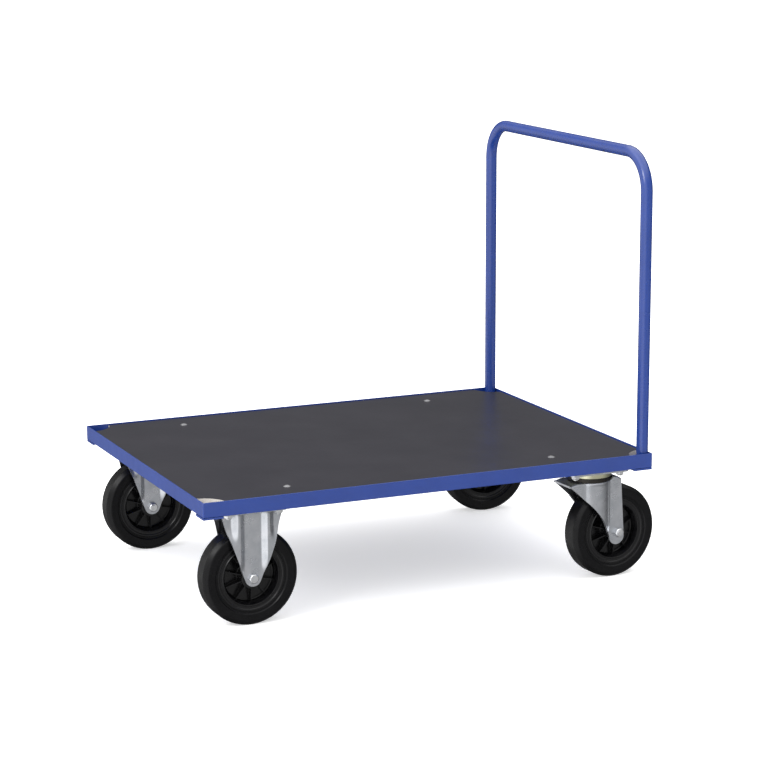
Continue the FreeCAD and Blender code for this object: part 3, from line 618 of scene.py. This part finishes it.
def build_frame():
    rail("side_rail_left", HALF_LENGTH, HALF_WIDTH, 0)
    rail("side_rail_right", HALF_LENGTH, HALF_WIDTH, math.pi)
    rail("end_rail_rear", HALF_WIDTH, HALF_LENGTH, math.pi / 2)
    rail("end_rail_front", HALF_WIDTH, HALF_LENGTH, -math.pi / 2)
    for end, sx in ENDS:
        for side, sy in SIDES:
            name = "corner_plate_%s_%s" % (end, side)
            low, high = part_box(name)
            corners = [(low.x, low.y), (high.x, low.y), (high.x, high.y), (low.x, high.y)]
            outer = (high.x if sx > 0 else low.x, high.y if sy > 0 else low.y)
            shape = rounded([(a, b, CORNER_RADIUS if (a, b) == outer else PLATE_CORNER)
                             for a, b in corners])
            plate = extruded(outline([Vector((a, b, low.z)) for a, b in shape]), (0, 0, high.z - low.z))
            soften(plate, 0.5 * MM)
            bolt = (FRAME_X + sx * (BAR_X - FRAME_X), sy * BAR_Y, high.z + MM)
            drill(plate, BAR_BOLT_HOLE, bolt, 2 * (high.z - low.z))
            settle(plate, "formed_" + name, FRAME_PAINT, "chassis", [name])
            corner = Vector(outer) - CORNER_RADIUS * Vector((sx, sy))
            seam = bead((corner.x, corner.y, RAIL_BOTTOM + 0.4 * MM),
                        (corner.x, corner.y, RAIL_TOP - 0.5 * MM), CORNER_RADIUS, ripples=False)
            settle(seam, "corner_weld_%s_%s" % (end, side), FRAME_PAINT, "chassis",
                   angle=60)


def build_cross_welds():
    """Beads under the frame where the channels meet the side rails, between the casters."""
    count = 0
    for start, end in CHANNEL_SPANS:
        for _, sy in SIDES:
            y = sy * (HALF_WIDTH - RAIL_FLANGE)
            seam = bead((FRAME_X + start * MM, y, RAIL_BOTTOM), (FRAME_X + end * MM, y, RAIL_BOTTOM),
                        WELD_RADIUS)
            count += 1
            settle(seam, "cross_weld_%d" % count, FRAME_PAINT, "chassis", angle=60)


def build_deck():
    deselect()
    centre = (deck_low + deck_high) / 2
    bpy.ops.mesh.primitive_cube_add(size=1, location=centre)
    panel = bpy.context.object
    panel.scale = deck_high - deck_low
    bpy.ops.object.transform_apply(location=True, rotation=True, scale=True)
    depth = 3 * (deck_high.z - deck_low.z)
    top = deck_high.z + 5 * MM
    for _, sx in ENDS:
        for _, sy in SIDES:
            drill(panel, DECK_CUTOUT, (FRAME_X + sx * HALF_LENGTH, sy * HALF_WIDTH, top), depth)
            drill(panel, DECK_BOLT_HOLE, (FRAME_X + sx * DECK_BOLT_X, sy * DECK_BOLT_Y, top), depth)
    soften(panel, 0.4 * MM)
    panel.data.materials.append(DECK_FILM)
    panel.data.materials.append(PLY_EDGE)
    for face in panel.data.polygons:
        face.material_index = 1 if abs(face.normal.z) < 0.3 else 0
    settle(panel, "film_faced_deck", DECK_FILM, "chassis", ["deck_panel"])


def build_push_bar():
    """One tube: a ring drawn up, spun round the bend, drawn across, and down again."""
    foot = bar_low.z
    deselect()
    bpy.ops.mesh.primitive_circle_add(vertices=48, radius=BAR_RADIUS, fill_type="NOTHING",
                                      location=(BAR_X, -BAR_Y, foot))
    bar = bpy.context.object
    bpy.ops.object.transform_apply(location=True)
    edit(bar)
    rise = BAR_TOP - BAR_BEND - foot
    across = 2 * (BAR_Y - BAR_BEND)
    bpy.ops.mesh.extrude_region_move(TRANSFORM_OT_translate={"value": (0, 0, rise)})
    bpy.ops.mesh.spin(steps=24, angle=math.pi / 2, axis=(1, 0, 0),
                      center=(BAR_X, -BAR_Y + BAR_BEND, BAR_TOP - BAR_BEND))
    bpy.ops.mesh.extrude_region_move(TRANSFORM_OT_translate={"value": (0, across, 0)})
    bpy.ops.mesh.spin(steps=24, angle=math.pi / 2, axis=(1, 0, 0),
                      center=(BAR_X, BAR_Y - BAR_BEND, BAR_TOP - BAR_BEND))
    bpy.ops.mesh.extrude_region_move(TRANSFORM_OT_translate={"value": (0, 0, -rise)})
    recalculate()
    modify(bar, "SOLIDIFY", thickness=BAR_WALL, offset=-1.0, use_even_offset=True)
    settle(bar, "bent_push_bar", BAR_PAINT, "chassis", ["push_bar"], angle=50)


# ---------------------------------------------------------------- wheels

def wheel_matrix(end, side):
    """From a wheel drawn about its own axle to its place under the cart."""
    joint = joints["wheel_%s_%s_spin" % (end, side)]
    axis = Vector(joint["axis"])
    return Matrix.Translation(joint["pos_m"]) @ Matrix.Rotation(math.atan2(-axis.x, axis.y), 4, "Z")


def tyre_shape():
    """Moulded tyre: flat tread between two fine lines, round shoulders, stepped side wall."""
    out, half = WHEEL_RADIUS, TYRE_HALF
    line, line_depth = 15.5 * MM, 0.7 * MM
    step = half - 2.2 * MM
    side = [(BEAD_INNER, BEAD_HALF, 0), (BEAD_OUTER, BEAD_HALF, 0), (BEAD_OUTER, step, 0.8 * MM),
            (75 * MM, step, 1.0 * MM), (77 * MM, half, 1.0 * MM), (out - 8 * MM, half, 8 * MM),
            (out - 1.4 * MM, half - 7 * MM, 3 * MM), (out, line + 1.2 * MM, 0.5 * MM),
            (out - line_depth, line + 0.5 * MM, 0.3 * MM), (out - line_depth, line - 0.5 * MM, 0.3 * MM),
            (out, line - 1.2 * MM, 0.5 * MM)]
    mirrored = [(a, -b, r) for a, b, r in reversed(side)]
    tyre = turned(rounded(side + mirrored), steps=128)
    attribute = tyre.data.attributes.new("from_axle", "FLOAT", "POINT")
    for vertex, value in zip(tyre.data.vertices, attribute.data):
        value.value = math.hypot(vertex.co.x, vertex.co.z)
    return tyre


def rim_shape():
    """Moulded wheel centre: hub, web, barrel and flange, with thin ribs on both faces."""
    hub_half = 29.5 * MM
    flange = TYRE_HALF - 2.5 * MM
    groove = flange - 1.2 * MM
    barrel = flange - 7.5 * MM
    web = 3 * MM
    near = [(15 * MM, hub_half, 0.6 * MM), (22.8 * MM, hub_half, 1.6 * MM), (23.5 * MM, web, 2.0 * MM),
            (53.4 * MM, web, 3.0 * MM), (54 * MM, barrel, 0.8 * MM), (58.5 * MM, flange, 1.2 * MM),
            (60 * MM, flange, 0.6 * MM), (61 * MM, groove, 0.6 * MM), (66 * MM, groove, 0.6 * MM),
            (67.2 * MM, flange, 0.8 * MM), (BEAD_OUTER, flange, 1.0 * MM), (BEAD_OUTER, BEAD_HALF, 0),
            (BEAD_INNER, BEAD_HALF, 0)]
    far = [(a, -b, r) for a, b, r in reversed(near)]
    rim = turned(rounded(near + far), steps=96)
    root, tip, rib_wall = 22 * MM, 55 * MM, 2.4 * MM
    side = rounded([(root, 0, 0), (tip, 0, 0), (tip, barrel - 2.5 * MM, 0), (root, hub_half - 9 * MM, 0)])
    rib = extruded(outline([Vector((a, b, -rib_wall / 2)) for a, b in side]), (0, 0, rib_wall))
    soften(rib, 0.5 * MM)
    ribs = []
    for k in range(RIB_COUNT):
        turn = Matrix.Rotation(-RIB_PHASE - k * 2 * math.pi / RIB_COUNT, 4, "Y")
        ribs.append(twin(rib, turn))
        ribs.append(twin(rib, turn @ Matrix.Scale(-1, 4, (0, 1, 0))))
    bpy.data.objects.remove(rib)
    return join([rim] + ribs)


def build_wheels():
    tyre, rim = tyre_shape(), rim_shape()
    for end, _ in ENDS:
        for side, _ in SIDES:
            place = wheel_matrix(end, side)
            body = "wheel_%s_%s" % (end, side)
            settle(twin(tyre, place), "moulded_tyre_%s_%s" % (end, side), RUBBER, body,
                   ["tyre_%s_%s" % (end, side)], angle=28)
            settle(twin(rim, place), "moulded_rim_%s_%s" % (end, side), RIM_PLASTIC, body,
                   ["wheel_rim_%s_%s" % (end, side)])
    for obj in (tyre, rim):
        bpy.data.objects.remove(obj)


# ---------------------------------------------------------------- forks

def grid(columns, rows, place):
    """A grid whose points are set by place(u, v), with u and v from 0 to 1."""
    deselect()
    bpy.ops.mesh.primitive_grid_add(x_subdivisions=columns, y_subdivisions=rows, size=1)
    obj = bpy.context.object
    for vertex in obj.data.vertices:
        vertex.co = place(vertex.co.x + 0.5, vertex.co.y + 0.5)
    return obj


def fork_plate():
    z = PLATE_TOP - FORK_SHEET
    corners = [(sx * PLATE_HALF_X, sy * PLATE_HALF_Y, 8 * MM)
               for sx, sy in ((-1, -1), (1, -1), (1, 1), (-1, 1))]
    plate = extruded(outline([Vector((a, b, z)) for a, b in rounded(corners, 8)]), (0, 0, FORK_SHEET))
    soften(plate, 0.7 * MM)
    return plate


def fixed_leg_face(x, z):
    """How far out the pressed leg stands: a flat panel, two ridges and pockets for the bolts."""
    panel_half, ridge_run, ridge_rise = 17 * MM, 12 * MM, 9 * MM
    pocket_depth, flare_start, flare_height, flare_out = 2.5 * MM, PLATE_TOP - 14 * MM, 10 * MM, 7 * MM
    across = abs(x)
    rise = ridge_rise * ease(WHEEL_RADIUS - 8 * MM, WHEEL_RADIUS + 47 * MM, z)
    pocket = ease(165 * MM, 212 * MM, z)
    straight = min(1.0, max(0.0, (across - panel_half) / ridge_run))
    up = blend(straight, ease(panel_half, panel_half + ridge_run, across), 0.5)
    down = ease(32 * MM, 46 * MM, across)
    face = blend(LEG_OUTER + rise * up, LEG_OUTER - pocket_depth, pocket * down)
    flare = min(1.0, max(0.0, z - flare_start) / flare_height)
    return face + flare_out * (1 - math.sqrt(max(0.0, 1 - flare ** 2))) * (1 - down)


def coons(top, bottom, left, right):
    """A smooth sheet between four boundary curves, each from 0 to 1, in X and Z."""
    def place(u, v):
        ruled_u = left(v) * (1 - u) + right(v) * u
        ruled_v = top(u) * (1 - v) + bottom(u) * v
        above = left(0) * (1 - u) + right(0) * u
        below = left(1) * (1 - u) + right(1) * u
        return ruled_u + ruled_v - (above * (1 - v) + below * v)
    return place


def fixed_leg():
    """One pressed leg: it narrows in a shallow curve from the plate to its round end."""
    radius = WHEEL_RADIUS - LEG_FOOT
    top_half = 66 * MM
    top = PLATE_TOP - FORK_SHEET + 0.5 * MM
    lean = math.radians(21)
    swell = 2.4 * MM
    end_x, end_z = radius * math.cos(lean), WHEEL_RADIUS - radius * math.sin(lean)

    def edge(sign):
        def at(v):
            out = blend(top_half, end_x, v) + swell * math.sin(math.pi * v)
            return Vector((sign * out, blend(top, end_z, v)))
        return at

    def foot(u):
        angle = (math.pi / 2 - lean) * (2 * u - 1)
        return Vector((radius * math.sin(angle), WHEEL_RADIUS - radius * math.cos(angle)))

    def head(u):
        return Vector((top_half * (2 * u - 1), top))

    sheet = coons(head, foot, edge(-1), edge(1))

    def place(u, v):
        x, z = sheet(u, v)
        return Vector((x, -fixed_leg_face(x, z), z))

    leg = grid(80, 64, place)
    edit(leg)
    recalculate()
    inwards = -1.0 if leg.data.polygons[0].normal.y < 0 else 1.0
    modify(leg, "SOLIDIFY", thickness=FORK_SHEET, offset=inwards)
    soften(leg, 0.6 * MM, angle=60)
    return leg


def build_fixed_forks():
    leg = fixed_leg()
    plate = fork_plate()
    other = twin(leg, Matrix.Scale(-1, 4, (0, 1, 0)))
    fork = join([plate, leg, other])
    for side, _ in SIDES:
        x, y, _ = joints["wheel_front_%s_spin" % side]["pos_m"]
        settle(twin(fork, Matrix.Translation((x, y, 0))), "pressed_fixed_fork_" + side, ZINC_SHEET,
               "chassis", ["fixed_fork_" + side])
    bpy.data.objects.remove(fork)


def swivel_fork_shape():
    """Pressed swivel fork about its kingpin: two legs, a round skirt, a domed crown and a visor."""
    crown_top, tip_x, rear_x = 224 * MM, -66 * MM, 60 * MM
    trail, foot_radius = 53 * MM, 18 * MM
    foot = Vector((trail - 3 * MM, WHEEL_RADIUS - 8 * MM))
    skirt, skirt_blend = 44.7 * MM, 2.5 * MM
    lip_level, lip_width, lip_out = crown_top - 12 * MM, 2.6 * MM, 2.0 * MM
    crease_x, crease_width, crease_out = 29.5 * MM, 1.8 * MM, 1.3 * MM

    def out_at(x, z):
        """Half-width of the fork: flat legs, blended into the round skirt, with a lip and a crease."""
        ring = math.sqrt(max(0.0, skirt ** 2 - x * x))
        apart = math.hypot((LEG_OUTER - ring) / 2, skirt_blend / 2)
        half = (LEG_OUTER + ring) / 2 + apart - skirt_blend / 3
        lip = math.exp(-((z - lip_level) / lip_width) ** 2) * ease(LEG_OUTER, skirt, ring)
        crease = math.exp(-((x - crease_x) / crease_width) ** 2)
        crease *= ease(LEG_FOOT + 20 * MM, LEG_FOOT + 50 * MM, z)
        return max(half, LEG_OUTER) + lip_out * lip + crease_out * crease

    def roof_at(x):
        """Height of the crown along its length: level, then sloping down to the visor's tip."""
        rear = 7 * MM * ease(32 * MM, 44 * MM, x) - 8 * MM * ease(46 * MM, 66 * MM, x)
        return crown_top - 8 * MM - 4 * MM * (1 - ease(-68 * MM, -46 * MM, x)) + rear

    def lower(s):
        """The lower outline of a leg: visor edge, swept front edge, then round the foot."""
        bend = 0.72
        if s < bend:
            t = s / bend
            start, middle = Vector((tip_x, crown_top - 14 * MM)), Vector((-1 * MM, 148 * MM))
            end = Vector((foot.x - foot_radius, foot.y + 1 * MM))
            control = 2 * middle - (start + end) / 2
            return start * (1 - t) ** 2 + control * (2 * t * (1 - t)) + end * t * t
        angle = math.pi * (s - bend) / (1 - bend)
        return foot + foot_radius * Vector((-math.cos(angle), -math.sin(angle)))

    shoulder, wall_rows, arc_rows, roof_rows = 4.5 * MM, 36, 8, 12
    half_rows = wall_rows + arc_rows + roof_rows

    def place(u, v):
        x_top = blend(tip_x, rear_x, u)
        low = lower(u)
        row = abs(v - 0.5) * 2 * half_rows
        side = -1 if v < 0.5 else 1
        roof = roof_at(x_top)
        round_off = min(shoulder, 0.6 * (roof - low.y))
        if row > roof_rows + arc_rows:
            share = (row - roof_rows - arc_rows) / wall_rows
            x, z = blend(x_top, low.x, share), blend(roof - round_off, low.y, share)
            return Vector((x, side * out_at(x, z), z))
        if row > roof_rows:
            angle = (row - roof_rows) / arc_rows * math.pi / 2
            edge = out_at(x_top, roof - round_off)
            return Vector((x_top, side * (edge - round_off * (1 - math.sin(angle))),
                           roof - round_off * (1 - math.cos(angle))))
        edge = out_at(x_top, roof - round_off) - round_off
        return Vector((x_top, side * edge * row / roof_rows, roof))

    fork = grid(84, 2 * half_rows, place)
    edit(fork)
    recalculate()
    middle = min(fork.data.polygons, key=lambda face: face.center.xy.length)
    if middle.normal.z < 0:
        fork.data.flip_normals()
    modify(fork, "SOLIDIFY", thickness=FORK_SHEET, offset=-1.0)
    soften(fork, 0.6 * MM, angle=60)
    for _, sy in SIDES:
        bore(fork, AXLE_HOLE, (trail, sy * LEG_OUTER, WHEEL_RADIUS), 14 * MM, 32, (math.pi / 2, 0, 0))
    seat = turned(rounded([(30 * MM, -9 * MM, 0), (30 * MM, 0, 0.5 * MM), (43.6 * MM, 0, 1 * MM),
                           (44.2 * MM, -9 * MM, 0)]))
    seat.data.transform(Matrix.Translation((0, 0, crown_top)) @ Matrix.Rotation(math.pi / 2, 4, "X"))
    return fork, seat


def build_swivel_forks():
    fork, seat = swivel_fork_shape()
    for side, _ in SIDES:
        pin = joints["swivel_%s_turn" % side]["pos_m"]
        axis = joints["wheel_rear_%s_spin" % side]["axis"]
        turn = Matrix.Rotation(math.atan2(-axis[0], axis[1]), 4, "Z")
        place = Matrix.Translation((pin[0], pin[1], 0)) @ turn
        settle(twin(fork, place), "pressed_swivel_fork_" + side, ZINC_SHEET, "swivel_" + side,
               ["swivel_fork_" + side])
        # the seat's near-black colour is painted shade under the cup's lip
        settle(twin(seat, place), "ball_seat_" + side, SEAT_STEEL_PAINTED_SHADE, "swivel_" + side)
    for obj in (fork, seat):
        bpy.data.objects.remove(obj)


# ---------------------------------------------------------------- studio

# Each: an axis of the view, where its glow starts, where it is full, and its strength.
SKY_GLOW = (("X", -0.15, -0.75, 1.15), ("Y", 0.1, -0.9, 0.45), ("Z", 0.35, 0.8, 1.5))
SKY_BASE = 0.14
# Each: a lamp, where it hangs, its size and its power.
LAMPS = (("key", (-3.2, -1.6, 2.6), 1.5, 50.0), ("overhead", (0.3, 0.2, 3.4), 2.6, 50.0))
LAMP_TARGET = Vector((0, 0, 0.3))
FLOOR_SIZE = 60
CAMERA_PLACE = Vector((-2.0795, -4.7343, 1.4728))
CAMERA_TARGET = Vector((0.0233, 0.0, 0.3990))
CAMERA_ROLL = math.radians(-0.20)
CAMERA_LENS = 116.75
SENSOR_WIDTH = 36.0


def build_studio():
    deselect()
    bpy.ops.mesh.primitive_plane_add(size=FLOOR_SIZE)
    floor = bpy.context.object
    floor.name = "floor"
    made, tree, shader, place = new_material("pale_floor", Specular_IOR_Level=0.2, Roughness=0.7,
                                             Emission_Color=rgba(1.0, 1.0, 1.0), Emission_Strength=0.5)
    cloud = use(tree, MOTTLE, place, Scale=0.8)
    shade = mix_colour(tree, cloud.outputs["Value"], *FLOOR_GREYS)
    tree.links.new(shade, shader.inputs["Base Color"])
    floor.data.materials.append(made)
    floor.visible_glossy = False

    world = bpy.data.worlds.new("studio")
    world.use_nodes = True
    tree = world.node_tree
    direction = node(tree, "ShaderNodeTexCoord").outputs["Generated"]
    axes = node(tree, "ShaderNodeSeparateXYZ", {"Vector": direction})
    glow = None
    for axis, start, full, strength in SKY_GLOW:
        part = remap(tree, axes.outputs[axis], start, full, 0.0, strength,
                     interpolation_type="SMOOTHSTEP")
        glow = maths(tree, "ADD", glow, part) if glow else part
    glow = maths(tree, "ADD", glow, SKY_BASE)
    tree.links.new(glow, tree.nodes["Background"].inputs["Strength"])
    tree.nodes["Background"].inputs["Color"].default_value = rgba(1.0, 1.0, 1.0)
    bpy.context.scene.world = world

    for name, place, size, power in LAMPS:
        lamp = bpy.data.lights.new(name, "AREA")
        lamp.size = size
        lamp.energy = power
        holder = bpy.data.objects.new(name, lamp)
        bpy.context.scene.collection.objects.link(holder)
        holder.location = place
        holder.rotation_euler = (LAMP_TARGET - holder.location).to_track_quat("-Z", "Y").to_euler()
        holder.visible_glossy = name == "key"

    camera = bpy.data.objects.new("camera", bpy.data.cameras.new("camera"))
    bpy.context.scene.collection.objects.link(camera)
    camera.data.sensor_width = SENSOR_WIDTH
    camera.data.lens = CAMERA_LENS
    camera.location = CAMERA_PLACE
    aim = (CAMERA_TARGET - camera.location).to_track_quat("-Z", "Y")
    camera.rotation_euler = (aim.to_matrix() @ Matrix.Rotation(CAMERA_ROLL, 3, "Z")).to_euler()
    bpy.context.scene.camera = camera
    bpy.context.scene.view_settings.view_transform = "Standard"


finish_cad_nodes()
build_frame()
build_cross_welds()
build_deck()
build_push_bar()
build_wheels()
build_fixed_forks()
build_swivel_forks()
build_studio()
